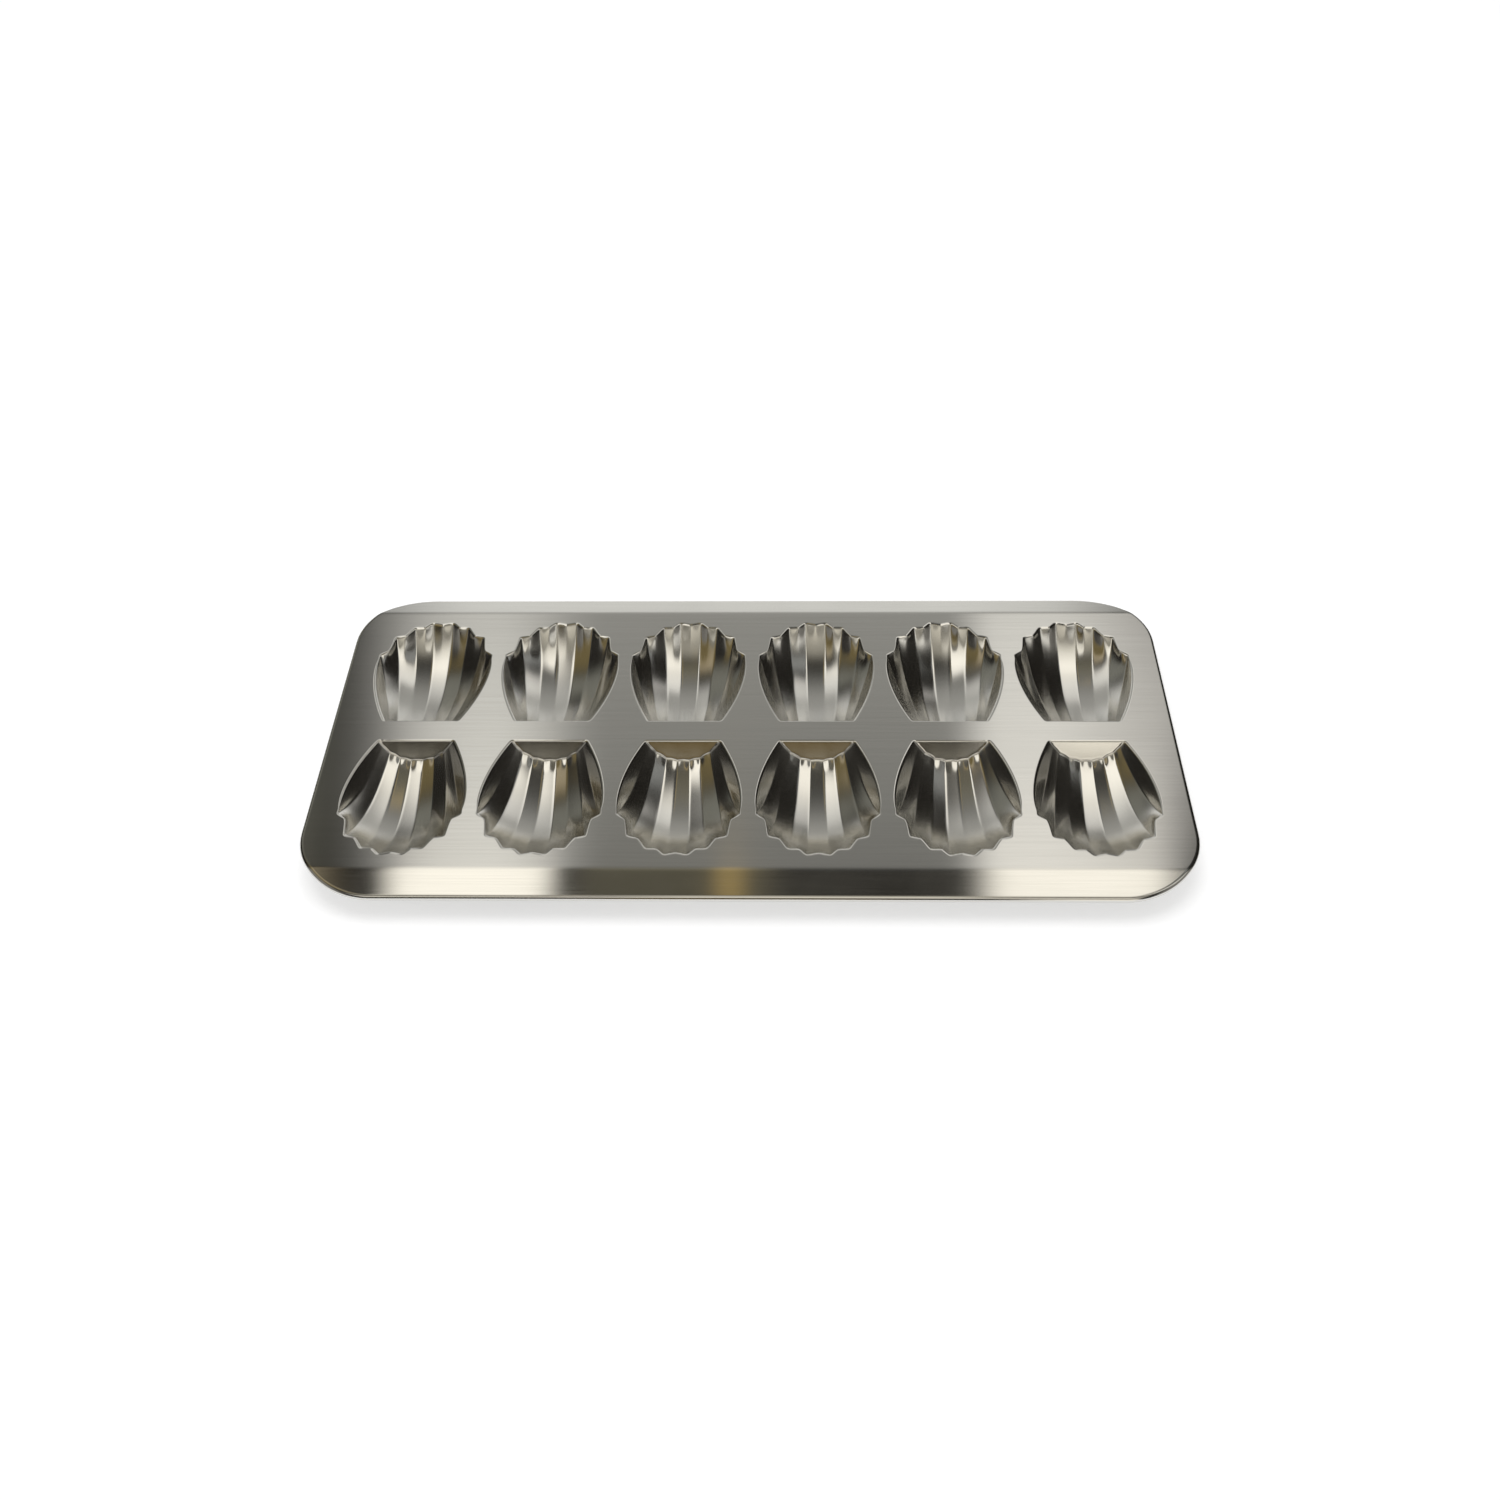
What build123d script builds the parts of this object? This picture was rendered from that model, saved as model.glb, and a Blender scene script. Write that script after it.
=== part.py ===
from build123d import *
from math import cos, hypot, radians, sin, tan
import os

os.makedirs("parts", exist_ok=True)

# Sheet of the pan, in millimetres; the origin is under its middle, where it stands
sheet_t = 0.6
pan_corner_r = 36.0
overrun = 1.0

# One shell, in its own frame: x across, y out from the flat end, z up from the deck top
shell_length = 72.8
shell_width = 55.8
flat_end_width = 35.0
flat_end_draft = radians(20)
belly_depth = 15.3
side_flare_share = 0.8
land_depth = 0.15

# Two rows of shells, with their flat ends towards the middle of the pan
shells_per_row = 6
shell_web = 6.5
shell_pitch = shell_width + shell_web
row_gap = 14.0
end_margin = 10.6
tip_margin = 8.3

# Rolled edge, curled down and under round a wire
rim_wire_r = 0.85
rim_wire_play = 0.05
rim_bore_r = rim_wire_r + rim_wire_play
rim_r = rim_bore_r + sheet_t

# Aprons: the strips along the two long sides slope down from a bend in the deck
apron_width = 14.4
apron_fall = 2.8
bend_y = row_gap / 2 + shell_length + tip_margin
apron_slope = apron_fall / (apron_width - rim_r)
pan_length = shells_per_row * shell_pitch + 2 * end_margin
pan_width = 2 * (bend_y + apron_width)

# Sharp valleys of the fluting, from the middle one outwards, mirrored to the other half.
# Each runs straight in plan from its foot on the flat end to its tip at the deck.
foot_x_shares = (0.16, 0.45, 0.72, 0.875)
foot_depth_shares = (0.63, 0.555, 0.372, 0.17)
tip_x_shares = (0.179, 0.473, 0.778, 0.982)
tip_y_shares = (0.9985, 0.948, 0.845, 0.66)
# Depths that pull each valley's curve down, at a third and two thirds of its way
near_pull_shares = (1.11, 0.99, 0.785, 0.46)
far_pull_shares = (1.31, 1.15, 0.89, 0.56)
# Side of the outline: a curve from the corner of the flat end to the widest place
side_x_shares = (0.627, 0.842, 1.0, 1.0)
side_y_shares = (0.0, 0.179, 0.371, 0.577)
# Rise of the rib between two valleys over its width. The facet is nearly flat from its foot
# and swells to a round rib near its tip. The first is on the middle line, the last at the side.
rib_foot_shares = (0.02, 0.02, 0.02, 0.01)
rib_tip_shares = (0.08, 0.14, 0.14, 0.14)
rib_growth = 4
# A sheet of even thickness reaches this much further out along a sharp valley, at foot and tip
foot_mitre_share = 1.05
tip_mitre_share = 1.22
# Places along the shell where its cross-section is drawn
section_shares = (0.0, 0.12, 0.28, 0.46, 0.64, 0.8, 0.92, 1.0)
nudge_share = 0.01
# Stretches of a valley that hold its foot on the flat end and its tip at the deck
foot_search_shares = (-0.2, 0.4)
tip_search_shares = (0.7, 1.3)
halvings = 40


def curve(points, share):
    """Place at a share of a four-point curve, or a little past its ends."""
    a, b, c, d = points
    rest = 1 - share
    return a * rest**3 + b * (3 * share * rest**2) + c * (3 * share**2 * rest) + d * share**3


def heading(points, share):
    """Direction of the curve there."""
    return curve(points, share + nudge_share) - curve(points, share - nudge_share)


def valley(index, side):
    """Four points that draw one valley, on the right (1) or the left (-1)."""
    depths = [
        share * belly_depth
        for share in (foot_depth_shares[index], near_pull_shares[index], far_pull_shares[index], 0)
    ]
    foot_x = side * foot_x_shares[index] * flat_end_width / 2
    foot = Vector(foot_x, depths[0] * tan(flat_end_draft), 0)
    tip_x = side * tip_x_shares[index] * shell_width / 2
    tip = Vector(tip_x, tip_y_shares[index] * shell_length, 0)
    step = (tip - foot) / (len(depths) - 1)
    return [foot + step * i - Vector(0, 0, depth) for i, depth in enumerate(depths)]


def side_line(side):
    """Four points that draw one side of the outline at the deck."""
    shares = zip(side_x_shares, side_y_shares)
    return [Vector(side * x * shell_width / 2, y * shell_length, 0) for x, y in shares]


def all_lines():
    """Left side, the valleys from left to right, right side."""
    order = range(len(foot_x_shares))
    left = [valley(index, -1) for index in reversed(order)]
    right = [valley(index, 1) for index in order]
    return [side_line(-1), *left, *right, side_line(1)]


def crossing(height, search_shares):
    """Share between two others where a height changes its sign."""
    low, high = search_shares
    start = height(low)
    for _ in range(halvings):
        middle = (low + high) / 2
        if height(middle) * start > 0:
            low = middle
        else:
            high = middle
    return low


def valley_column(lines, index, growth, rise):
    """Points of one valley from the flat end's plane to the lid, moved out by a thickness."""

    def place(share):
        across = curve(lines[index + 1], share) - curve(lines[index - 1], share)
        inward = across.cross(heading(lines[index], share)).normalized()
        mitre = foot_mitre_share * (1 - share) + tip_mitre_share * share
        return curve(lines[index], share) - inward * growth * mitre

    def past_end(share):
        point = place(share)
        return point.Y * cos(flat_end_draft) + point.Z * sin(flat_end_draft) + growth

    first = crossing(past_end, foot_search_shares)
    last = crossing(lambda share: place(share).Z - rise, tip_search_shares)
    return [place(first + (last - first) * share) for share in section_shares]


def side_column(side, growth, rise):
    """Points where one side wall meets the lid."""
    line = side_line(side)
    flare = rise * side_flare_share + growth * hypot(1, side_flare_share)
    column = []
    for share in section_shares:
        lead = heading(line, share)
        outward = Vector(lead.Y, -lead.X, 0).normalized() * side
        column.append(curve(line, share) + outward * flare + Vector(0, 0, rise))
    corner_y = -growth / cos(flat_end_draft) - rise * tan(flat_end_draft)
    column[0] = Vector(column[0].X, corner_y, rise)
    return column


def rib_edge(left, right, index, place):
    """Rib across one band of a section, between two valley columns."""
    share = section_shares[place]
    rank = abs(index - len(rib_tip_shares) + 1)
    swell = share**rib_growth
    rise_share = rib_foot_shares[rank] * (1 - swell) + rib_tip_shares[rank] * swell
    if share == 0:
        along = Vector(0, cos(flat_end_draft), sin(flat_end_draft))
    elif share == 1:
        along = Vector(0, 0, 1)
    else:
        along = left[place + 1] + right[place + 1] - left[place - 1] - right[place - 1]
    chord = right[place] - left[place]
    crest = chord.cross(along).normalized() * rise_share * chord.length
    middle = (left[place] + right[place]) / 2 + crest
    return Edge.make_three_point_arc(left[place], middle, right[place])


def section_wire(columns, place):
    """Closed outline across a shell: side wall, ribs, side wall and lid."""
    left_side, *valleys, right_side = columns
    edges = [Edge.make_line(left_side[place], valleys[0][place])]
    for index, (left, right) in enumerate(zip(valleys, valleys[1:])):
        edges.append(rib_edge(left, right, index, place))
    edges.append(Edge.make_line(valleys[-1][place], right_side[place]))
    edges.append(Edge.make_line(right_side[place], left_side[place]))
    return Wire(edges)


def shell_form(growth, rise):
    """Solid that fills a shell, from a fluted floor up to a flat lid above the deck."""
    lines = all_lines()
    inner = range(1, len(lines) - 1)
    valleys = [valley_column(lines, index, growth, rise) for index in inner]
    columns = [side_column(-1, growth, rise), *valleys, side_column(1, growth, rise)]
    wires = [section_wire(columns, place) for place in range(len(section_shares))]
    return Solid.make_loft(wires)


def shell_places():
    """Name and place of every shell: the back row as drawn, the front row turned round."""
    places = {}
    for row, turn, side in (("front", 180, -1), ("back", 0, 1)):
        for number in range(shells_per_row):
            x = (number - (shells_per_row - 1) / 2) * shell_pitch
            spot = Location((x, side * row_gap / 2, 0), (0, 0, turn))
            places[f"shell_{row}_{number + 1}"] = spot
    return places


def rim_path():
    """Right half of the rim's middle line, from the front round to the back."""
    x, y = pan_length / 2 - rim_r, pan_width / 2 - rim_r
    corners = [(0, -y, -rim_r), (x, -y, -rim_r), (x, y, -rim_r), (0, y, -rim_r)]
    return Wire(FilletPolyline(*corners, radius=pan_corner_r - rim_r).edges())


def rim_ring(profile):
    """Profile swept round the whole rim; its x points out of the pan and its y up."""
    path = rim_path()
    frame = Plane(origin=path @ 0, x_dir=(0, -1, 0), z_dir=(-1, 0, 0))
    half = sweep(frame * profile, path=path)
    return half + mirror(half, about=Plane.YZ)


def rolled_profile():
    """Sheet curled from the top, round the outside and under to the inner side."""
    ring = Circle(rim_r) - Circle(rim_bore_r)
    return ring - Rectangle(rim_r, rim_r, align=(Align.MAX, Align.MIN))


def flat_deck():
    """Level sheet out to the middle of the rolled edge."""
    outline = RectangleRounded(
        pan_length - 2 * rim_r, pan_width - 2 * rim_r, pan_corner_r - rim_r
    )
    return extrude(outline, amount=-sheet_t)


def with_aprons(flat):
    """Level form whose long margins slope down from the bends."""
    tall = 4 * rim_r
    form = flat & Box(2 * pan_length, 2 * bend_y, tall)
    for side in (-1, 1):
        margin = Box(2 * pan_length, pan_width, tall, align=(Align.CENTER, Align.MIN, Align.CENTER))
        strip = flat & margin.moved(Location((0, bend_y, 0)))
        strip = strip.mirror(Plane.XZ) if side < 0 else strip
        fall = Matrix([
            [1, 0, 0, 0],
            [0, 1, 0, 0],
            [0, -side * apron_slope, 1, apron_slope * bend_y],
            [0, 0, 0, 1],
        ])
        form += strip.transform_geometry(fall)
    return form


def save(node, form, lift):
    """Write one node, raised so that the pan stands at z = 0."""
    solids = form.solids()
    print(node, len(solids), "solid", round(form.volume, 1), "mm3")
    export_step(solids[0].moved(Location((0, 0, lift))), f"parts/{node}.step")


def main():
    """Make the sheet's deck, its rolled edge, the wire in it and the shells."""
    cavity = shell_form(0, 2 * overrun)
    outside = shell_form(sheet_t, overrun)
    shell = (outside - cavity).split(Plane.XY, Keep.BOTTOM)
    # The lowest valleys are worn flat where the pan stands
    deck_top = -shell.bounding_box().min.Z - land_depth
    shell = shell.split(Plane.XY.offset(-deck_top), Keep.TOP)
    places = shell_places()
    deck = with_aprons(flat_deck())
    for spot in places.values():
        deck -= outside.moved(spot)
    save("deck_sheet", deck, deck_top)
    save("rolled_rim", with_aprons(rim_ring(rolled_profile())), deck_top)
    save("rim_wire", with_aprons(rim_ring(Circle(rim_wire_r))), deck_top)
    for node, spot in places.items():
        save(node, shell.moved(spot), deck_top)
    print("pan stands", round(deck_top, 2), "mm high to the deck")


main()
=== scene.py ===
"""Madeleine pan: a pressed sheet of bright steel with twelve shell-shaped cups.

Sizes are in millimetres and turned to metres where a mesh is written. The pan stands on z = 0 with
its length along x. The back row of cups points to +y and the front row is the same form turned
half round.
"""
import logging
from dataclasses import dataclass
from enum import Enum
from typing import Any, Dict, Optional, Sequence, Tuple

import bpy
import numpy as np
from mathutils import Matrix, Vector


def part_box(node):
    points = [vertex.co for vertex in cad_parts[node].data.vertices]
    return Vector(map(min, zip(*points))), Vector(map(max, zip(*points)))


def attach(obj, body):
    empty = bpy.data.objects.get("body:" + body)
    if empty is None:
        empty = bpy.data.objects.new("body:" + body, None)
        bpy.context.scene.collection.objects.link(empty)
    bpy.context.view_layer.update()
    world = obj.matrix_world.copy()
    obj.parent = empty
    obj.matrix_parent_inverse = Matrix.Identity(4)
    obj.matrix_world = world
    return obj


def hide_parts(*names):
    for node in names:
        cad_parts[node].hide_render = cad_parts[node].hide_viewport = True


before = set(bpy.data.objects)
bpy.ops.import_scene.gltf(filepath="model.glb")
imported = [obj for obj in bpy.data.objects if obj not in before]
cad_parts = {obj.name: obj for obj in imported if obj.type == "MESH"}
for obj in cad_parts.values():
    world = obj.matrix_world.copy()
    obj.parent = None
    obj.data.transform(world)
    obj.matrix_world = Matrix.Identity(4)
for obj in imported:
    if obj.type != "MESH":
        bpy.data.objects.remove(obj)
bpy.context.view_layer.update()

MM = 0.001
# A length below this is no direction
TINY = 1e-12
# Digits after the point of a millimetre to which points that join are rounded
JOIN_DIGITS = 4
# Degrees of a bend in a mesh from which it is shaded as an edge
EDGE_ANGLE = 55
UP = np.array([0.0, 0.0, 1.0])
Array = np.ndarray
log = logging.getLogger("madeleine_pan")


# Meshes


def bezier(controls: Array, share: Array) -> Array:
    """Work out four-point curves at several places.

    The point at share s is a(1-s)^3 + 3b s(1-s)^2 + 3c s^2(1-s) + d s^3.

    Args:
        controls: Control points, shape (curves, 4, 3).
        share: Places along the curves, shape (places,).

    Returns:
        Points, shape (places, curves, 3).
    """
    rest = 1 - share
    weights = np.stack([rest**3, 3 * share * rest**2, 3 * share**2 * rest, share**3], axis=1)
    return np.einsum("pk,ckd->pcd", weights, controls)


def unit(vectors: Array) -> Array:
    """Scale vectors on the last axis to length one."""
    length = np.linalg.norm(vectors, axis=-1, keepdims=True)
    return vectors / np.maximum(length, TINY)


def smooth_step(low: float, high: float, value: Array) -> Array:
    """Rise from 0 at low to 1 at high as 3s^2 - 2s^3."""
    share = np.clip((value - low) / (high - low), 0, 1)
    return share * share * (3 - 2 * share)


def loop_tangent(points: Array) -> Array:
    """Unit directions along a closed loop of points, each from the last point to the next."""
    return unit(np.roll(points, -1, axis=0) - np.roll(points, 1, axis=0))


def smoothed(loop: Array, times: int) -> Array:
    """Even out values round a closed loop: each becomes (before + 2 here + after) / 4.

    Args:
        loop: Values in order round the loop.
        times: How often this is done.

    Returns:
        The evened values.
    """
    for _ in range(times):
        loop = (np.roll(loop, 1, axis=0) + 2 * loop + np.roll(loop, -1, axis=0)) / 4
    return loop


def softer(first: Any, second: Any, width: Array) -> Array:
    """Lower of two, rounded: (first + second - sqrt((first - second)^2 + width^2)) / 2."""
    return (first + second - np.sqrt((first - second) ** 2 + width**2)) / 2


def rounded_corner(start: Array, corner: Array, end: Array, rows: int) -> Array:
    """Round a corner by a three-point curve: at share s, a(1-s)^2 + 2b s(1-s) + c s^2.

    Args:
        start: Where the curves start, shape (points, 3).
        corner: Corners that they are drawn towards.
        end: Where they end.
        rows: Number of steps along them.

    Returns:
        Points of the curves without their starts, shape (rows, points, 3).
    """
    share = np.linspace(0, 1, rows + 1)[1:, None, None]
    return start * (1 - share) ** 2 + corner * 2 * share * (1 - share) + end * share**2


def grid_quads(rows: int, columns: int, closed: bool = False) -> Array:
    """Join the points of a grid by quads.

    Args:
        rows: Number of rows of points.
        columns: Number of points in a row.
        closed: Whether the last column joins the first.

    Returns:
        Corner numbers, shape (quads, 4), turning from a row to the next along the columns.
    """
    across = np.arange(columns if closed else columns - 1)
    along = np.arange(rows - 1)[:, None]
    here = along * columns + across
    beside = along * columns + (across + 1) % columns
    corners = [here, beside, beside + columns, here + columns]
    return np.stack([np.broadcast_to(corner, here.shape).ravel() for corner in corners], axis=1)


def vertex_normals(points: Array, quads: Array) -> Array:
    """Average the normals of the quads round each point, weighted by their area.

    A quad adds the cross product of its diagonals, which is as long as twice its area.

    Args:
        points: Points, shape (points, 3).
        quads: Corner numbers, shape (quads, 4).

    Returns:
        Unit normals, shape (points, 3).
    """
    a, b, c, d = (points[quads[:, corner]] for corner in range(4))
    face = np.cross(c - a, d - b)
    total = np.zeros_like(points)
    for corner in range(4):
        np.add.at(total, quads[:, corner], face)
    return unit(total)


def thickened(points: Array, quads: Array, normals: Array, thickness: float) -> Tuple[Array, Array]:
    """Give an open sheet a back and closed edges.

    The back is the sheet moved against its normals by the thickness. Each edge that only one quad
    uses gets a narrow wall.

    Args:
        points: Points of the face, shape (points, 3).
        quads: Corner numbers of the face.
        normals: Unit normals at the points.
        thickness: Distance between face and back.

    Returns:
        Points and quads of the closed sheet.
    """
    count = len(points)
    starts = quads.ravel()
    ends = np.roll(quads, -1, axis=1).ravel()
    key = np.minimum(starts, ends).astype(np.int64) * count + np.maximum(starts, ends)
    _, first, uses = np.unique(key, return_index=True, return_counts=True)
    free = first[uses == 1]
    walls = np.stack([ends[free], starts[free], starts[free] + count, ends[free] + count], axis=1)
    back = quads[:, ::-1] + count
    return np.vstack([points, points - normals * thickness]), np.vstack([quads, back, walls])


def welded(points: Array, quads: Array) -> Tuple[Array, Array]:
    """Join points that fall on the same place once they are rounded to JOIN_DIGITS."""
    places, number = np.unique(np.round(points, JOIN_DIGITS), axis=0, return_inverse=True)
    return places, number.ravel()[quads]


def add_object(name: str, data: bpy.types.ID) -> bpy.types.Object:
    """Make an object and link it to the scene.

    Args:
        name: Name of the object.
        data: Its mesh, lamp or camera.

    Returns:
        The object.
    """
    item = bpy.data.objects.new(name, data)
    bpy.context.scene.collection.objects.link(item)
    return item


def add_piece(
    name: str, points: Array, quads: Array, node: str, steel: bpy.types.Material
) -> bpy.types.Object:
    """Write a closed sheet to a mesh object, dress it and tie it to the frame.

    Args:
        name: Name of the piece.
        points: Points in millimetres.
        quads: Corner numbers.
        node: CAD node that the piece stands for.
        steel: Its material.

    Returns:
        The new object, at the origin.
    """
    mesh = bpy.data.meshes.new(name)
    mesh.materials.append(steel)
    mesh.from_pydata((points * MM).tolist(), [], quads.tolist())
    mesh.polygons.foreach_set("use_smooth", np.ones(len(mesh.polygons), dtype=bool))
    mesh.set_sharp_from_angle(angle=np.radians(EDGE_ANGLE))
    mesh.validate()
    mesh.update()
    piece = add_object(name, mesh)
    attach(piece, "root")
    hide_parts(node)
    return piece


# Pan


class Row(Enum):
    """Rows of cups; the value is the side of the middle line that the row lies on."""

    FRONT = -1
    BACK = 1


@dataclass(frozen=True)
class PanSizes:
    """Sizes that the parts of the pan share."""

    length: float = 395.0
    width: float = 205.0
    corner_radius: float = 36.0
    thickness: float = 0.6
    cups_per_row: int = 6
    pitch: float = 62.3
    row_gap: float = 14.0
    # Bend of the aprons: its distance from the long middle line, its half width, the drop past it
    bend_y: float = 88.1
    bend_half_width: float = 1.2
    apron_fall: float = 2.8
    # Bead round the wire, and how far inside its middle line the rolled edge starts
    bead_radius: float = 1.5
    bore_radius: float = 0.9
    curl_start: float = 1.0

    @property
    def deck_top(self) -> float:
        """Height of the deck over the table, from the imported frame."""
        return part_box("deck_sheet")[1][2] / MM

    @property
    def bead_y(self) -> float:
        """Distance of the bead's middle line from the long middle line."""
        return self.width / 2 - self.bead_radius

    def fall(self, y: Array) -> Array:
        """Drop of the sheet below the deck at a distance from the middle line.

        It is zero on the deck, a parabola over the bend and a straight slope past it.

        Args:
            y: Places across the pan.

        Returns:
            Drops, positive downwards.
        """
        half = self.bend_half_width
        past = np.abs(y) - self.bend_y
        soft = np.clip(past + half, 0, 2 * half)
        slope = self.apron_fall / (self.bead_y - self.bend_y)
        return slope * (soft**2 / (4 * half) + np.maximum(past - half, 0))


@dataclass(frozen=True)
class CupForm:
    """One shell-shaped cup in its own frame: x across, y out from the flat end, z from the deck.

    Eight valleys run straight in plan from the flat end to the tips of the outline and divide the
    floor into nine bands, numbered from the left. A band is nearly flat over most of its length.
    A low rib shows as a tooth at its foot, and a higher one grows to a narrow crest at its tip.
    """

    # Flat end: its lean, and the half length and depth of its top edge
    draft: float = np.radians(25)
    wall_top_half: float = 14.5
    wall_lip: float = 0.7
    # Valleys from the middle outwards: foot, two depths that pull the curve down, and tip
    foot_x: Tuple[float, ...] = (2.8, 7.875, 12.6, 15.31)
    foot_depth: Tuple[float, ...] = (8.87, 7.88, 5.23, 2.39)
    near_depth: Tuple[float, ...] = (16.3, 14.6, 11.5, 6.75)
    far_depth: Tuple[float, ...] = (20.04, 17.72, 13.62, 8.57)
    tip_x: Tuple[float, ...] = (4.99, 13.2, 21.71, 27.4)
    tip_y: Tuple[float, ...] = (72.69, 69.01, 61.52, 48.05)
    # Side of the outline, from the corner of the flat end to the widest place
    side_x: Tuple[float, ...] = (17.5, 23.5, 27.9, 27.9)
    side_y: Tuple[float, ...] = (0.0, 13.03, 27.0, 42.0)
    # Rise of the ribs over their band's width, from the middle band outwards, at foot and tip
    rib_foot: Tuple[float, ...] = (0.06, 0.07, 0.07, 0.03)
    rib_tip: Tuple[float, ...] = (0.15, 0.23, 0.21, 0.18)
    # Shares of the length where the low ribs end and the high ones start, and how fast these grow
    foot_rib_end: float = 0.09
    tip_rib_start: float = 0.4
    rib_growth: float = 9.0
    # Place of the crests across their bands at the tips, and the share where they start to lean
    crest_lean: Tuple[float, ...] = (0.5, 0.49, 0.6, 0.68)
    lean_start: float = 0.3
    # Rounding of the crests at foot and tip, and the share of the length where it starts to narrow
    crest_round: Tuple[float, float] = (1.4, 0.3)
    narrow_start: float = 0.1
    # Rounding of the ribs beside a valley as a share of the band, and of the creases in millimetres
    valley_round: float = 0.045
    crease_reach: float = 0.6
    # Shares of the length where ribs leave the flat end's direction and take the deck's
    foot_turn: float = 0.14
    tip_turn: float = 0.86
    heading_step: float = 0.001
    # Grid of the face
    band_columns: int = 16
    floor_rows: int = 56
    first_row: float = 0.02
    last_row: float = 0.97
    wall_rows: int = 7
    fillet_rows: int = 5
    # Fillet at the flat end's foot, its larger size at the corners, and what it may take up at most
    fillet: float = 0.9
    corner_fillet: float = 1.5
    corner_share: float = 0.12
    most_of_wall: float = 0.45
    most_of_floor: float = 0.95
    # Depth where the lip starts at the sides, and at the tips in a valley and on a crest
    side_lip: float = 0.8
    tip_lip: Tuple[float, float] = (1.3, 3.0)
    most_cut: float = 0.85
    lip_rows: int = 5
    # How often the lip's reach, the mouth that it runs round and its outer end are evened out
    reach_evening: int = 4
    mouth_evening: int = 12
    end_evening: int = 2
    # Level flange past the lip, and the rectangle of deck round the cup
    flange_share: float = 0.02
    cell_half: float = 31.15
    cell_low: float = -7.0
    cell_high: float = 79.0
    cell_middle: float = 38.0

    @property
    def wall_normal(self) -> Array:
        """Direction out of the flat end into the cup."""
        return np.array([0, np.cos(self.draft), np.sin(self.draft)])

    @property
    def middle_band(self) -> int:
        """Number of the middle band; the first band, at the left side, is 0."""
        return len(self.foot_x)

    def lines(self) -> Array:
        """Control points of the ten lines from the left side to the right side.

        Returns:
            Shape (10, 4, 3): left side, four left valleys, four right valleys, right side.
        """
        thirds = np.linspace(0, 1, 4)
        right = []
        for index, foot_x in enumerate(self.foot_x):
            depths = (self.foot_depth[index], self.near_depth[index], self.far_depth[index], 0)
            foot_y = self.foot_depth[index] * np.tan(self.draft)
            x = foot_x + (self.tip_x[index] - foot_x) * thirds
            y = foot_y + (self.tip_y[index] - foot_y) * thirds
            right.append(np.stack([x, y, -np.array(depths)], axis=1))
        right.append(np.stack([self.side_x, self.side_y, np.zeros(4)], axis=1))
        right = np.array(right)
        return np.vstack([right[::-1] * (-1, 1, 1), right])

    def columns(self) -> Tuple[Array, Array]:
        """Bands and places in them of the grid's columns, closer at valleys and crests.

        Returns:
            Band number and share across the band of every column; 0.5 is the crest.
        """
        half = self.band_columns // 2
        near = (1 - np.cos(np.pi * np.arange(half) / half)) / 4
        share = np.concatenate([near, near + 0.5])
        bands = 2 * self.middle_band + 1
        band = np.repeat(np.arange(bands), len(share))
        return np.append(band, bands - 1), np.append(np.tile(share, bands), 1.0)

    def by_band(self, values: Tuple[float, ...], at_side: float) -> Array:
        """Columns' values from one value a band, middle first, and that of the outermost bands."""
        band, _ = self.columns()
        return np.append(values, at_side)[np.abs(band - self.middle_band)]

    def floor_at(self, along: Array) -> Array:
        """Fluted floor at some shares of its length: flat facets and the ribs on them.

        Args:
            along: Shares from the flat end to the tips, shape (rows,).

        Returns:
            Points, shape (rows, columns, 3).
        """
        step = self.heading_step
        ahead = self._base(along + step) - self._base(along - step)
        return self._ribbed(along, self._base(along), ahead)

    def _base(self, along: Array) -> Array:
        """Flat facets between the ten lines, with rounded creases.

        In the outermost bands the side's lip takes a share of the chord off at the deck,
        1 / (1 / most_cut + depth of the first valley / side_lip). Within crease_reach of a valley,
        at a distance s from it, a point moves by (crease_reach - s)^2 / (4 crease_reach) times
        the change of the chords' unit direction there.

        Args:
            along: Shares of the length, shape (rows,).

        Returns:
            Points, chords across their band and the chords' lengths, shape (rows, columns, 7).
        """
        knots = bezier(self.lines(), along)
        chord = np.diff(knots, axis=1)
        band, _ = self.columns()
        place = self._place_across(along)
        cut = 1 / (1 / self.most_cut - knots[:, 1, 2:3] / self.side_lip)
        place = np.where(band == 0, cut + (1 - cut) * place, place)
        place = np.where(band == 2 * self.middle_band, (1 - cut) * place, place)[..., None]
        across = chord[:, band]
        length = np.linalg.norm(across, axis=-1, keepdims=True)
        point = knots[:, band] + across * place
        turn = np.diff(unit(chord), axis=1)
        none = np.zeros_like(turn[:, :1])
        turn = np.concatenate([none, turn, none], axis=1)
        for side, away in ((0, place), (1, 1 - place)):
            left = np.maximum(self.crease_reach - away * length, 0)
            point = point + turn[:, band + side] * left**2 / (4 * self.crease_reach)
        return np.concatenate([point, across, length], axis=-1)

    def _crest(self, along: Array) -> Array:
        """Where the crests lie: in the middle up to lean_start, and at their lean at the tips.

        Args:
            along: Shares of the length, shape (rows,).

        Returns:
            Shares of the way across each column's band from its left, shape (rows, columns).
        """
        band, _ = self.columns()
        lean = self.by_band(self.crest_lean, 0.5)
        lean = np.where(band < self.middle_band, 1 - lean, lean)
        return 0.5 + (lean - 0.5) * smooth_step(self.lean_start, 1.0, along)[:, None]

    def _place_across(self, along: Array) -> Array:
        """Turn the columns' places from valley over crest to valley into shares of the chord.

        Args:
            along: Shares of the length, shape (rows,).

        Returns:
            Shares, shape (rows, columns), where the columns' 0.5 falls on the crest.
        """
        _, share = self.columns()
        crest = self._crest(along)
        high = crest + (2 * share - 1) * (1 - crest)
        return np.where(share < 0.5, 2 * share * crest, high)

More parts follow.
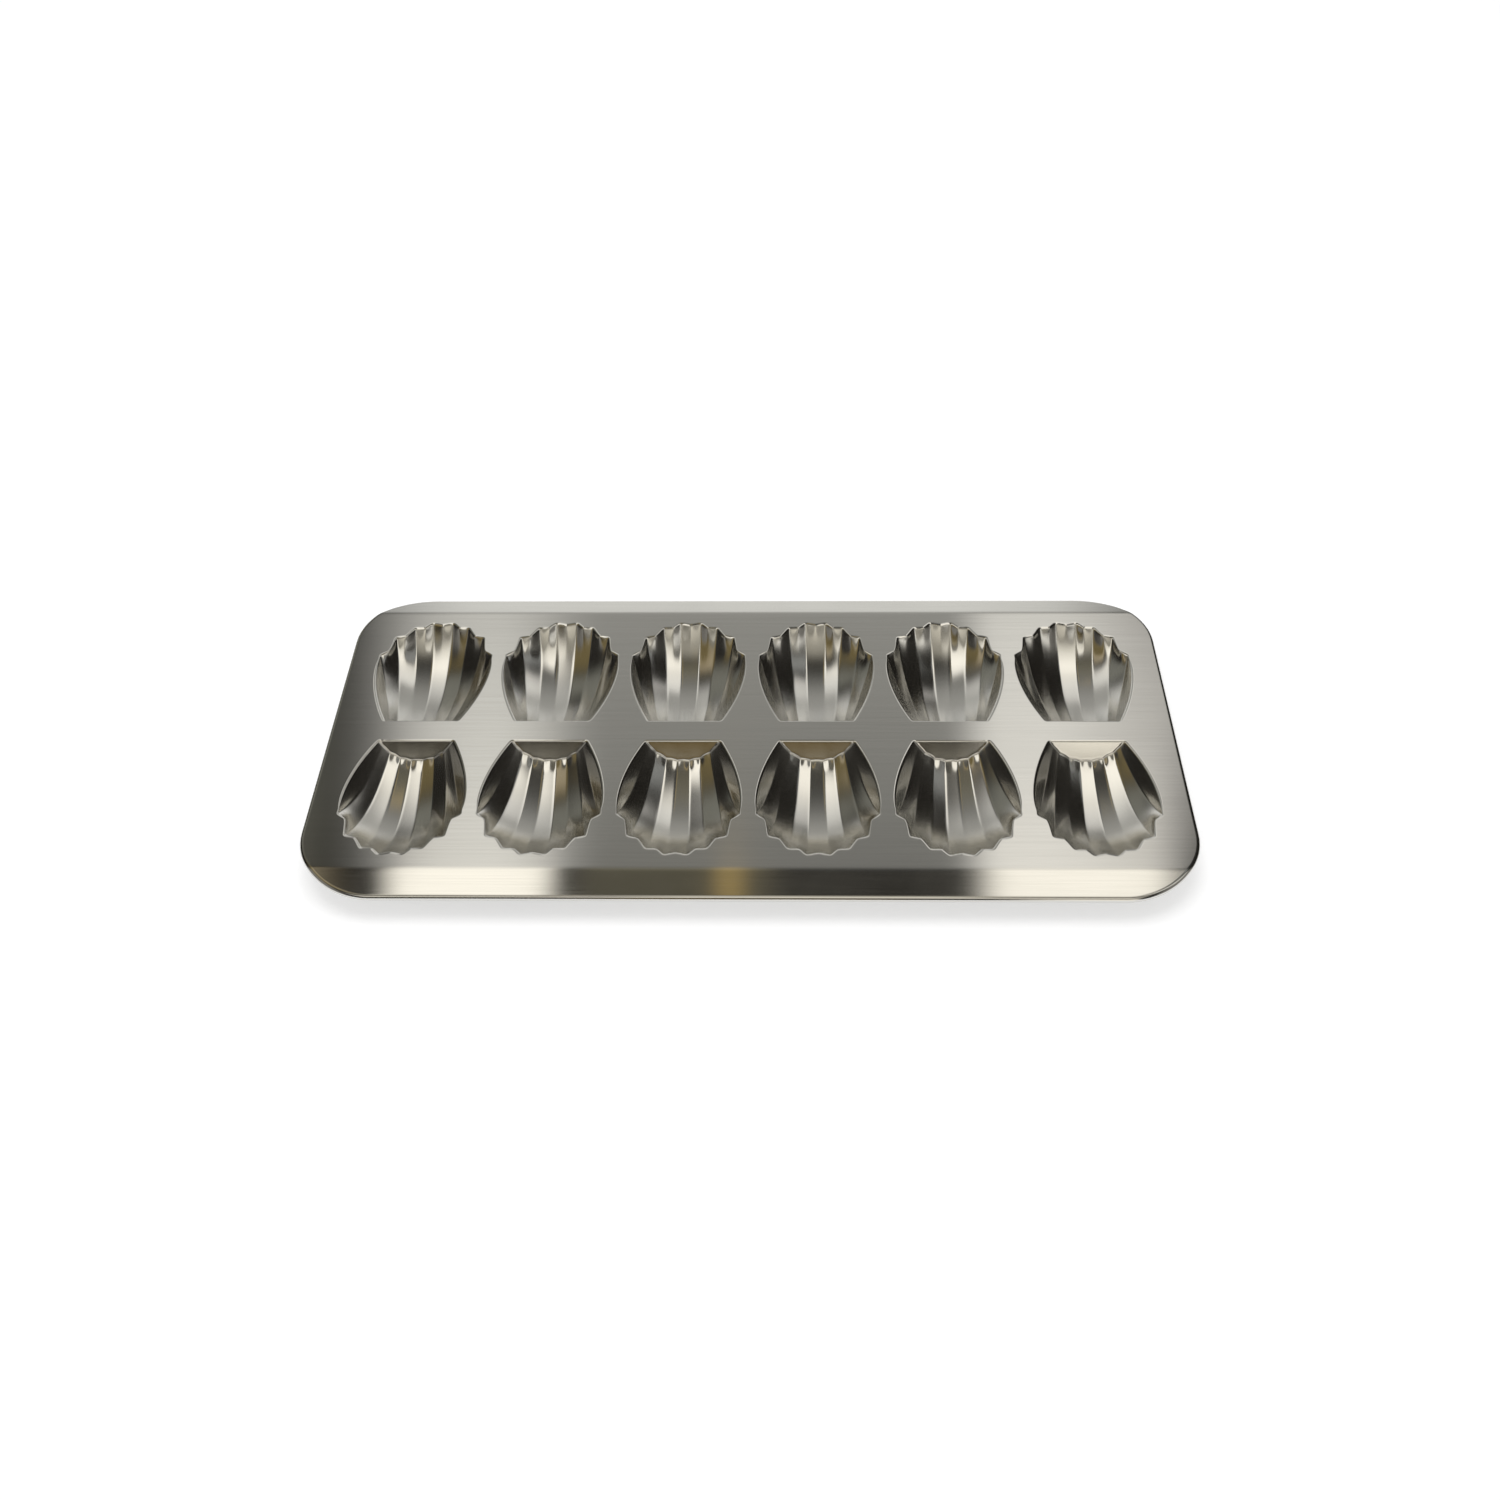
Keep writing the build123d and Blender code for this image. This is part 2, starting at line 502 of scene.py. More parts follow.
    def _ribbed(self, along: Array, base: Array, ahead: Array) -> Array:
        """Add the ribs to the facets.

        A rib's profile is the softer of two slopes that rise from its valleys to the crest, less
        the straight line between its values at the valleys, scaled to 1 at the crest. It stands
        on the facet along the cross product of the chord and the way ahead, which turns into the
        flat end's normal at the foot and into straight up at the tip.

        Args:
            along: Shares of the length, shape (rows,).
            base: Points, chords and the chords' lengths.
            ahead: Change of the same values from just before to just after.

        Returns:
            Points, shape (rows, columns, 3).
        """
        grown = along[:, None]
        near_foot = 1 - smooth_step(0, self.foot_rib_end, grown)
        near_tip = np.clip((grown - self.tip_rib_start) / (1 - self.tip_rib_start), 0, 1)
        foot = self.by_band(self.rib_foot, 0.0) * near_foot
        tip = self.by_band(self.rib_tip, 0.0) * near_tip**self.rib_growth
        rise = (foot + tip) * base[..., 6]
        crest = self._crest(along)
        place = self._place_across(along)
        dip = self.valley_round
        left = (np.sqrt(place**2 + dip**2) - dip) / crest
        right = (np.sqrt((1 - place) ** 2 + dip**2) - dip) / (1 - crest)
        full = np.sqrt(1 + dip**2) - dip
        foot_round, tip_round = self.crest_round
        narrowed = smooth_step(self.narrow_start, 1.0, grown)
        width = foot_round + (tip_round - foot_round) * narrowed
        at_left = softer(0.0, full / (1 - crest), width)
        at_right = softer(full / crest, 0.0, width)
        line = at_left * (1 - place) + at_right * place
        top = softer(1.0, 1.0, width) - (at_left * (1 - crest) + at_right * crest)
        profile = (softer(left, right, width) - line) / top
        at_foot = 1 - smooth_step(0, self.foot_turn, grown)[..., None]
        at_tip = smooth_step(self.tip_turn, 1.0, grown)[..., None]
        lead = unit(ahead[..., :3]) * (1 - at_foot - at_tip)
        lead = lead + self.wall_normal * at_foot + UP * at_tip
        inward = unit(np.cross(base[..., 3:6], lead))
        return base[..., :3] + inward * (rise * profile)[..., None]

    def face(self) -> Array:
        """Inner face of the cup: flat end, tight fillet at its foot, fluted floor.

        A column starts on the flat end's top edge and ends at the outline. The outer columns run
        along the edge itself, so that no face shrinks to a point at the corners. The last row is
        drawn back by a share 1 / (1 / most_cut + depth of the row before / the lip's depth).

        Returns:
            Points, shape (rows, columns, 3), with the outline of the mouth on its border.
        """
        band, share = self.columns()
        last_band = 2 * self.middle_band
        rows = np.linspace(self.first_row, self.last_row, self.floor_rows)
        floor_points = self.floor_at(np.concatenate([[0.0], rows, [1.0]]))
        foot, near_tip = floor_points[0], floor_points[-2]
        at_side = (band == 0) | (band == last_band)
        at_crest = np.where(at_side, 0.0, 1 - np.abs(2 * share - 1))[:, None]
        valley_lip, crest_lip = self.tip_lip
        lip = valley_lip + (crest_lip - valley_lip) * at_crest
        back = 1 / (1 / self.most_cut - near_tip[:, 2:] / lip)
        floor_points[-1] += (near_tip - floor_points[-1]) * back
        across = (band + share) / (last_band + 1)
        level = np.ones_like(across)
        top = np.stack([
            (2 * across - 1) * self.wall_top_half,
            level * self.wall_lip * np.tan(self.draft),
            -level * self.wall_lip,
        ], axis=1)
        inner = smooth_step(0.0, self.corner_share, np.minimum(across, 1 - across))
        reach = self.corner_fillet * (1 - inner) + self.fillet * inner
        up, down = top - foot, floor_points[1] - foot
        up_length, down_length = np.linalg.norm(up, axis=1), np.linalg.norm(down, axis=1)
        before = np.minimum(reach, self.most_of_wall * up_length) / up_length
        after = np.minimum(reach, self.most_of_floor * down_length) / down_length
        start = foot + up * before[:, None]
        end = foot + down * after[:, None]
        wall = start + (top - start) * np.linspace(1, 0, self.wall_rows + 1)[:, None, None]
        fillet = rounded_corner(start, foot, end, self.fillet_rows)
        return np.concatenate([wall, fillet, floor_points[2:]], axis=0)

    def sheet(self) -> Tuple[Array, Array, Array]:
        """Cup with the pressed lip at its mouth and a narrow level flange.

        The lip rounds a corner P, O, Q. P is on the border of the face, O is where the face would
        meet the deck's level straight on from P, and Q is as far out from O in the deck as P is
        from O.

        Returns:
            Points, quads and the numbers of the outermost loop.
        """
        grid = self.face()
        rows, columns = grid.shape[:2]
        number = np.arange(rows * columns).reshape(rows, columns)
        loop = np.concatenate([
            number[0, :-1], number[:-1, -1], number[-1, :0:-1], number[:0:-1, 0],
        ])
        points = grid.reshape(-1, 3)
        face = grid_quads(rows, columns)
        normals = vertex_normals(points, face)
        normals[: (self.wall_rows + 1) * columns] = self.wall_normal
        start = points[loop]
        into = unit(np.cross(normals[loop], loop_tangent(start)))
        reach = (start[:, 2] / into[:, 2])[:, None]
        mouth = start - into * reach
        mouth[:, 2] = 0
        outward = np.cross(loop_tangent(smoothed(mouth, self.mouth_evening)), UP)
        end = smoothed(mouth + outward * smoothed(reach, self.reach_evening), self.end_evening)
        lip = rounded_corner(start, mouth, end, self.lip_rows)
        flange = end + (self.cell_edge(end) - end) * self.flange_share
        rings = np.concatenate([lip, flange[None]], axis=0)
        ring_number = len(points) + np.arange(rings.shape[0] * len(loop))
        ring_number = np.vstack([loop, ring_number.reshape(-1, len(loop))])
        quads = grid_quads(len(ring_number), len(loop), closed=True)
        quads = ring_number.ravel()[quads[:, ::-1]]
        return np.vstack([points, rings.reshape(-1, 3)]), np.vstack([face, quads]), ring_number[-1]

    def cell_edge(self, loop: Array) -> Array:
        """Carry a loop's points out to the rectangle of deck round the cup.

        A point goes along its ray from the cup's middle to the nearer of the two sides that the
        ray meets. The points nearest to the four corners move into them.

        Args:
            loop: Points in the deck's level, shape (points, 3).

        Returns:
            Points on the rectangle, shape (points, 3).
        """
        ray = loop[:, :2] - (0, self.cell_middle)
        reach_x = self.cell_half / np.maximum(np.abs(ray[:, 0]), TINY)
        edge_y = np.where(ray[:, 1] > 0, self.cell_high, self.cell_low) - self.cell_middle
        reach_y = edge_y / np.where(np.abs(ray[:, 1]) < TINY, TINY, ray[:, 1])
        edge = ray * np.minimum(reach_x, reach_y)[:, None]
        for corner_x in (-self.cell_half, self.cell_half):
            for corner_y in (self.cell_low, self.cell_high):
                corner = np.array([corner_x, corner_y - self.cell_middle])
                edge[np.argmin(np.linalg.norm(edge - corner, axis=1))] = corner
        edge = edge + (0, self.cell_middle)
        return np.column_stack([edge, np.zeros(len(edge))])


@dataclass(frozen=True)
class Cup:
    """One cup in its place in the pan."""

    sizes: PanSizes
    form: CupForm
    row: Row
    number: int

    @property
    def name(self) -> str:
        """Name of the CAD node that the cup stands for."""
        return f"shell_{self.row.name.lower()}_{self.number}"

    def placed(self, points: Array) -> Array:
        """Move points from the cup's own frame to the pan's.

        The front row turns half round. A cup then goes (number - middle number) * pitch along the
        pan, half the row gap across it and up to the deck's height.

        Args:
            points: Points in the cup's frame.

        Returns:
            Points over the table.
        """
        side = self.row.value
        x = (self.number - (self.sizes.cups_per_row + 1) / 2) * self.sizes.pitch
        return points * (side, side, 1) + (x, side * self.sizes.row_gap / 2, self.sizes.deck_top)

    def build(
        self, sheet: Tuple[Array, Array, Array], steel: bpy.types.Material
    ) -> bpy.types.Object:
        """Make the cup's piece from the shared sheet form.

        Args:
            sheet: Points, quads and outer loop from CupForm.sheet.
            steel: Material of the cup.

        Returns:
            The piece.
        """
        points, quads, rim = sheet
        normals = vertex_normals(points, quads)
        normals[rim] = UP
        solid, faces = thickened(points, quads, normals, self.sizes.thickness)
        return add_piece(f"{self.name}_pressed", self.placed(solid), faces, self.name, steel)


@dataclass(frozen=True)
class Deck:
    """Flat sheet between the cups and the aprons that slope down along the long sides."""

    sizes: PanSizes
    form: CupForm
    cell_shares: Tuple[float, ...] = (0.0, 0.35, 1.0)
    margin_rows: int = 16

    def cells(self, loop: Array, cups: Sequence[Cup]) -> Tuple[Array, Array]:
        """Level sheet from the flange of every cup to the rectangle round it.

        Args:
            loop: End of a cup's lip in the cup's own frame, without the flange.
            cups: All the cups.

        Returns:
            Points and quads of all the cells; neighbours don't share points yet.
        """
        edge = self.form.cell_edge(loop)
        # The flange already covers the first share of the way
        start = loop + (edge - loop) * self.form.flange_share
        ring = np.stack([start + (edge - start) * share for share in self.cell_shares])
        quads = grid_quads(len(self.cell_shares), len(loop), closed=True)
        points = np.vstack([cup.placed(ring.reshape(-1, 3)) for cup in cups])
        size = ring.shape[0] * ring.shape[1]
        quads = np.vstack([quads + size * index for index in range(len(cups))])
        return np.round(points, JOIN_DIGITS), quads

    def outline(self, border: Array) -> Tuple[Array, Array]:
        """Find where the rounded outline is measured from.

        Args:
            border: Points on the border of the cells.

        Returns:
            For each point the nearest place in the rectangle between the corners' centres, and
            the unit direction from there to the point, both of shape (points, 2).
        """
        straight = np.array([self.sizes.length, self.sizes.width]) / 2 - self.sizes.corner_radius
        centre = np.clip(border[:, :2], -straight, straight)
        return centre, unit(border[:, :2] - centre)

    def border(self, points: Array) -> Array:
        """Pick the points on the outermost rectangle of the cells.

        Args:
            points: Points of the cells.

        Returns:
            The points in order round the rectangle, each one once.
        """
        half_x = self.sizes.pitch * self.sizes.cups_per_row / 2
        half_y = self.form.cell_high + self.sizes.row_gap / 2
        near = 10.0**-JOIN_DIGITS
        on_edge = np.isclose(np.abs(points[:, 0]), half_x, atol=near)
        on_edge |= np.isclose(np.abs(points[:, 1]), half_y, atol=near)
        ring = np.unique(points[on_edge], axis=0)
        angle = np.arctan2(ring[:, 1] / half_y, ring[:, 0] / half_x)
        return ring[np.argsort(angle)]

    def build(
        self, loop: Array, cups: Sequence[Cup], steel: bpy.types.Material
    ) -> Tuple[bpy.types.Object, Array]:
        """Make the deck's piece.

        The margin runs straight from the border to where the rolled edge starts, at centre +
        direction * (corner radius - bead radius - curl start). The whole sheet then drops by the
        fall at its places across the pan.

        Args:
            loop: End of a cup's lip in the cup's own frame, without the flange.
            cups: All the cups.
            steel: Material of the deck.

        Returns:
            The piece and the border that its margin starts from.
        """
        points, quads = self.cells(loop, cups)
        border = self.border(points)
        centre, lead = self.outline(border)
        radius = self.sizes.corner_radius - self.sizes.bead_radius - self.sizes.curl_start
        outer = np.column_stack([centre + lead * radius, border[:, 2]])
        shares = np.linspace(0, 1, self.margin_rows + 1)[:, None, None]
        margin = border + (outer - border) * shares
        margin_quads = grid_quads(self.margin_rows + 1, len(border), closed=True) + len(points)
        # Cells and margin run outwards and against the clock, so their corners turn face down
        quads = np.vstack([quads, margin_quads])[:, ::-1]
        points, quads = welded(np.vstack([points, margin.reshape(-1, 3)]), quads)
        points[:, 2] -= self.sizes.fall(points[:, 1])
        normals = vertex_normals(points, quads)
        solid, faces = thickened(points, quads, normals, self.sizes.thickness)
        return add_piece("deck_pressed", solid, faces, "deck_sheet", steel), border


@dataclass(frozen=True)
class RolledEdge:
    """Edge of the sheet, rolled down and under round a wire."""

    sizes: PanSizes
    arc_ends: Tuple[float, float] = (90.0, -180.0)
    arc_rows: int = 22

    def profile(self) -> Array:
        """Closed outline of the rolled sheet: outward place and height.

        The outer side runs level, then round three quarters of a circle; the inner side follows
        it back one sheet thickness inside.

        Returns:
            Shape (points, 2).
        """
        turn = np.radians(np.linspace(*self.arc_ends, self.arc_rows + 1))
        circle = np.stack([np.cos(turn), np.sin(turn)], axis=1)
        centre = np.array([0, -self.sizes.bead_radius])
        outer = centre + circle * self.sizes.bead_radius
        inner = centre + circle[::-1] * self.sizes.bore_radius
        start = -self.sizes.curl_start
        middle = start / 2
        thickness = self.sizes.thickness
        lead = np.array([[start, 0], [middle, 0]])
        tail = np.array([[middle, -thickness], [start, -thickness]])
        return np.vstack([lead, outer, inner, tail])

    def build(self, centre: Array, lead: Array, steel: bpy.types.Material) -> bpy.types.Object:
        """Carry the profile round the outline.

        A point lies at centre + direction * (corner radius - bead radius + outward place), as
        high as the deck and the profile's height give together, less the fall there.

        Args:
            centre: Centres that the outline is measured from, shape (points, 2).
            lead: Unit directions out of the pan there.
            steel: Material of the edge.

        Returns:
            The piece.
        """
        profile = self.profile()
        count = len(profile)
        radius = self.sizes.corner_radius - self.sizes.bead_radius
        flat = centre[None] + lead[None] * (radius + profile[:, None, :1])
        height = self.sizes.deck_top + profile[:, 1][:, None] - self.sizes.fall(flat[..., 1])
        grid = np.concatenate([flat, height[..., None]], axis=-1)
        # One row more than the profile has points, which the remainder turns into the first row
        quads = grid_quads(count + 1, len(centre), closed=True) % (count * len(centre))
        points = grid.reshape(-1, 3)
        return add_piece("rolled_rim_bead", points, quads[:, ::-1], "rolled_rim", steel)


# Finishes


def linear(colour: str) -> Tuple[float, float, float, float]:
    """Turn an sRGB colour into a linear one.

    A value up to 0.04045 is divided by 12.92; another is ((value + 0.055) / 1.055)^2.4.

    Args:
        colour: Hex colour such as #c8c4ba.

    Returns:
        Linear red, green and blue, and one.
    """
    values = np.array([int(colour[place : place + 2], 16) for place in (1, 3, 5)]) / 255
    low = values / 12.92
    high = ((values + 0.055) / 1.055) ** 2.4
    red, green, blue = np.where(values <= 0.04045, low, high)
    return float(red), float(green), float(blue), 1.0


def add_node(
    tree: bpy.types.NodeTree,
    kind: str,
    settings: Optional[Dict[str, Any]] = None,
    links: Optional[Dict[Any, Any]] = None,
) -> bpy.types.Node:
    """Add a node with its settings and links.

    Args:
        tree: Node tree to add it to.
        kind: Blender's name of the node type.
        settings: Values by name; a name in the node's inputs sets that socket, another sets the
            node's own property.
        links: Output sockets by the name or number of the input they go to.

    Returns:
        The node.
    """
    node = tree.nodes.new(kind)
    for name, value in (settings or {}).items():
        if isinstance(name, int) or name in node.inputs:
            node.inputs[name].default_value = value
        else:
            setattr(node, name, value)
    for name, socket in (links or {}).items():
        tree.links.new(socket, node.inputs[name])
    return node


def empty_material(name: str) -> bpy.types.Material:
    """Make a material that has no nodes yet.

    Args:
        name: Name of the material.

    Returns:
        The material.
    """
    material = bpy.data.materials.new(name)
    material.use_nodes = True
    material.node_tree.nodes.clear()
    return material


@dataclass(frozen=True)
class BrushedSteel:
    """Stainless steel sheet with a fine brushed finish along the pan's length.

    The eye sees a bright grey mirror that is blurred across the grain, with hair-thin lines and
    soft long streaks, and a sheet that is very slightly wavy where wave_depth isn't zero.
    """

    name: str = "brushed stainless steel"
    colour: str = "#d7d6d2"
    darker: str = "#d1d0cc"
    # Stretch of the streaks' noise that is turned into tones from darker to colour
    tone_stretch: Tuple[float, float] = (0.3, 0.7)
    roughness: Tuple[float, float] = (0.1, 0.14)
    # Stretch of grain and clouds together that is turned into roughness
    rough_stretch: Tuple[float, float] = (0.7, 1.3)
    anisotropy: float = 0.95
    # Real grain is a few hundredths of a millimetre wide; it is drawn coarser so that it shows
    line_width: float = 0.35
    line_length: float = 40.0
    line_depth: float = 0.0015
    streak_width: float = 0.9
    streak_length: float = 60.0
    cloud_size: float = 35.0
    wave_size: float = 45.0
    wave_depth: float = 0.05

    def material(self) -> bpy.types.Material:
        """Make the node material.

        Returns:
            The material, with its patterns on Object coordinates.
        """
        material = empty_material(self.name)
        tree = material.node_tree
        place = add_node(tree, "ShaderNodeTexCoord").outputs["Object"]
        drawn_out = {}
        for name, length, width, detail, mixed in (
            ("grain", self.line_length, self.line_width, 4.0, 0.65),
            ("streaks", self.streak_length, self.streak_width, 3.0, 0.6),
        ):
            scale = (1 / (length * MM), 1 / (width * MM), 1 / (width * MM))
            stretched = add_node(
                tree, "ShaderNodeVectorMath", {"operation": "MULTIPLY", 1: scale}, {0: place}
            )
            drawn_out[name] = add_node(
                tree, "ShaderNodeTexNoise", {"Scale": 1.0, "Detail": detail, "Roughness": mixed},
                {"Vector": stretched.outputs["Vector"]},
            ).outputs["Fac"]
        cloud = add_node(
            tree, "ShaderNodeTexNoise", {"Scale": 1 / (self.cloud_size * MM), "Detail": 3.0},
            {"Vector": place},
        ).outputs["Fac"]
        rough_mix = add_node(
            tree, "ShaderNodeMath", {"operation": "ADD"}, {0: drawn_out["grain"], 1: cloud}
        )
        rough = add_node(
            tree, "ShaderNodeMapRange",
            {
                "From Min": self.rough_stretch[0], "From Max": self.rough_stretch[1],
                "To Min": self.roughness[0], "To Max": self.roughness[1],
            },
            {"Value": rough_mix.outputs[0]},
        ).outputs["Result"]
        spread = add_node(
            tree, "ShaderNodeMapRange",
            {"From Min": self.tone_stretch[0], "From Max": self.tone_stretch[1]},
            {"Value": drawn_out["streaks"]},
        ).outputs["Result"]
        tone = add_node(
            tree, "ShaderNodeMix",
            {"data_type": "RGBA", 6: linear(self.darker), 7: linear(self.colour)}, {0: spread},
        ).outputs[2]
        relief = {"Height": drawn_out["grain"]}
        if self.wave_depth:
            swell = add_node(
                tree, "ShaderNodeTexNoise", {"Scale": 1 / (self.wave_size * MM), "Detail": 1.0},
                {"Vector": place},
            ).outputs["Fac"]
            relief["Normal"] = add_node(
                tree, "ShaderNodeBump", {"Strength": 1.0, "Distance": self.wave_depth * MM},
                {"Height": swell},
            ).outputs["Normal"]
        lines = add_node(
            tree, "ShaderNodeBump", {"Strength": 1.0, "Distance": self.line_depth * MM}, relief
        ).outputs["Normal"]
        across_grain = add_node(tree, "ShaderNodeCombineXYZ", {"X": 0.0, "Y": 1.0, "Z": 0.0})
        steel = add_node(
            tree, "ShaderNodeBsdfPrincipled", {"Metallic": 1.0, "Anisotropic": self.anisotropy},
            {
                "Base Color": tone, "Roughness": rough, "Normal": lines,
                "Tangent": across_grain.outputs[0],
            },
        )
        add_node(tree, "ShaderNodeOutputMaterial", links={"Surface": steel.outputs["BSDF"]})
        return material


@dataclass(frozen=True)
class DrawnWire:
    """Galvanised steel wire, seen only where the rolled edge leaves a gap underneath.

    The eye sees a dull grey metal with soft pale spots.
    """

    name: str = "drawn galvanised wire"
    colour: str = "#a9abab"
    spangle: str = "#8b8e90"
    roughness: Tuple[float, float] = (0.35, 0.55)
    spot_size: float = 1.5
    spot_depth: float = 0.01

    def material(self) -> bpy.types.Material:
        """Make the node material.

        Returns:
            The material, with its patterns on Object coordinates.
        """
        material = empty_material(self.name)
        tree = material.node_tree
        place = add_node(tree, "ShaderNodeTexCoord").outputs["Object"]
        spots = add_node(
            tree, "ShaderNodeTexNoise", {"Scale": 1 / (self.spot_size * MM), "Detail": 2.0},
            {"Vector": place},
        ).outputs["Fac"]
        tone = add_node(
            tree, "ShaderNodeMix",
            {"data_type": "RGBA", 6: linear(self.spangle), 7: linear(self.colour)}, {0: spots},
        ).outputs[2]
        rough = add_node(
            tree, "ShaderNodeMapRange",
            {"To Min": self.roughness[0], "To Max": self.roughness[1]}, {"Value": spots},
        ).outputs["Result"]
        bump = add_node(
            tree, "ShaderNodeBump", {"Strength": 1.0, "Distance": self.spot_depth * MM},
            {"Height": spots},
        ).outputs["Normal"]
        wire = add_node(
            tree, "ShaderNodeBsdfPrincipled", {"Metallic": 1.0},
            {"Base Color": tone, "Roughness": rough, "Normal": bump},
        )
        add_node(tree, "ShaderNodeOutputMaterial", links={"Surface": wire.outputs["BSDF"]})
        return material


# Studio


@dataclass(frozen=True)
class PhotoCamera:
    """Camera that stands where the photograph was taken from."""

    place: Tuple[float, float, float] = (19.74, -602.47, 565.27)
    heading: float = -0.0332851
    dip: float = 0.7502969
    roll: float = -0.0217826
    focal_length: float = 41.9135
    sensor_width: float = 36.0
    clip: Tuple[float, float] = (10.0, 50000.0)

    def build(self) -> bpy.types.Object:
        """Add the camera and make it the scene's own.

        Heading turns it to the right of +y, dip turns it down, and both give the directions to
        its side, ahead and down. Roll then turns side and down about the direction ahead.

        Returns:
            The camera.
        """
        data = bpy.data.cameras.new("photo camera")
        data.lens = self.focal_length
        data.sensor_width = self.sensor_width
        data.sensor_fit = "HORIZONTAL"
        data.clip_start, data.clip_end = self.clip[0] * MM, self.clip[1] * MM
        camera = add_object("photo camera", data)
        side = Vector((np.cos(self.heading), -np.sin(self.heading), 0))
        ahead = Vector((
            np.sin(self.heading) * np.cos(self.dip),
            np.cos(self.heading) * np.cos(self.dip),
            -np.sin(self.dip),
        ))
        down = Vector((
            -np.sin(self.dip) * np.sin(self.heading),
            -np.sin(self.dip) * np.cos(self.heading),
            -np.cos(self.dip),
        ))
        right = side * np.cos(self.roll) - down * np.sin(self.roll)
        up = -(side * np.sin(self.roll) + down * np.cos(self.roll))
        turn = Matrix((right, up, -ahead)).transposed().to_4x4()
        camera.matrix_world = Matrix.Translation(Vector(self.place) * MM) @ turn
        bpy.context.scene.camera = camera
        return camera


@dataclass(frozen=True)
class Panel:
    """Soft-edged lit cloth on the tent.

    Across is its stretch to the right of the middle as a share of the tent's radius, and over its
    stretch in degrees round the long axis, from 0 at the floor behind the pan over the top to 180
    at the floor in front. The edges fade by soft_across and soft_over to both sides.
    """

    across: Tuple[float, float]
    over: Tuple[float, float]
    soft_across: float
    soft_over: float
    colour: str
    level: float

    def light(self, tree: bpy.types.NodeTree, place: Dict[str, Any], dark: Any) -> Any:
        """Add the panel's light to what the tent gives so far.

        Args:
            tree: The tent's node tree.
            place: Sockets with the share across and the angle over, by name.
            dark: Colour socket of the tent so far.

        Returns:
            Colour socket with the panel.
        """
        mask = None
        for name, ends, soft in (
            ("across", self.across, self.soft_across),
            ("over", self.over, self.soft_over),
        ):
            for end, rise in zip(ends, ((0.0, 1.0), (1.0, 0.0))):
                edge = add_node(
                    tree, "ShaderNodeMapRange",
                    {
                        "interpolation_type": "SMOOTHSTEP", "From Min": end - soft,
                        "From Max": end + soft, "To Min": rise[0], "To Max": rise[1],
                    },
                    {"Value": place[name]},
                ).outputs["Result"]
                if mask is not None:
                    edge = add_node(
                        tree, "ShaderNodeMath", {"operation": "MULTIPLY"}, {0: mask, 1: edge}
                    ).outputs[0]
                mask = edge
        red, green, blue, _ = linear(self.colour)
        shine = (red * self.level, green * self.level, blue * self.level, 1.0)
        return add_node(
            tree, "ShaderNodeMix", {"data_type": "RGBA", "blend_type": "ADD", 7: shine},
            {0: mask, 6: dark},
        ).outputs[2]


